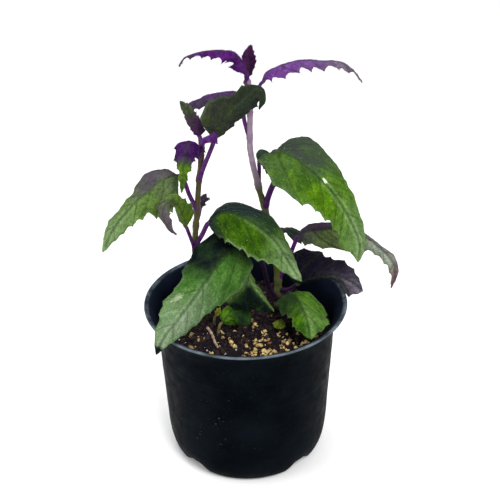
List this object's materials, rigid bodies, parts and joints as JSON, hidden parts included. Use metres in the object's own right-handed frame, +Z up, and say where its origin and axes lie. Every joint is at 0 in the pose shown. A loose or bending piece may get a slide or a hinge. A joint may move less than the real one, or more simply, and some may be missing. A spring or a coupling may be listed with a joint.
{
  "type": "potted velvet plant",
  "caption": "Young velvet plant with hairy upright stems and arching, toothed, violet-tinged green leaves, rooted in soil in a flared black nursery pot.",
  "frame": {"origin": "centre of the flat underside of the pot's foot", "axes": "+Z up along the pot's axis, -Y towards the viewer of the picture, +X to that viewer's right"},
  "size_m": [0.1697, 0.12, 0.2554],
  "materials": {
    "pot_plastic": "satin",
    "hairy_stem": "matte",
    "velvet_green": "matte",
    "velvet_plum": "matte",
    "velvet_dark": "matte",
    "velvet_violet": "matte",
    "young_violet": "matte",
    "potting_soil": "matte",
    "sprout_green": "matte",
    "dry_twig": "matte"
  },
  "bodies": {
    "root": {"pot": "pot_plastic", "left_stem": "hairy_stem", "right_stem": "hairy_stem", "leaf_right_large": "velvet_green", "leaf_right_rear_arched": "velvet_plum", "leaf_right_dark_low": "velvet_dark", "leaf_right_front_low": "velvet_green", "leaf_right_upper_left": "velvet_violet", "leaf_right_tucked": "velvet_green", "leaf_right_top_left": "young_violet", "leaf_right_bud": "young_violet", "leaf_right_top_right": "young_violet", "leaf_right_back": "velvet_green", "leaf_right_over_rim": "velvet_green", "leaf_left_under": "velvet_green", "leaf_left_central": "velvet_green", "leaf_left_outer": "velvet_green", "leaf_left_curled": "velvet_plum", "leaf_left_small_rear": "velvet_violet", "leaf_left_hooded": "velvet_violet", "leaf_left_top_right": "young_violet", "leaf_left_bud": "velvet_violet", "leaf_left_upper_right": "velvet_green", "soil": "potting_soil", "seedling": "sprout_green", "forked_shoot": "sprout_green", "foot_tuft": "sprout_green", "twig": "dry_twig"}
  },
  "joints": []
}
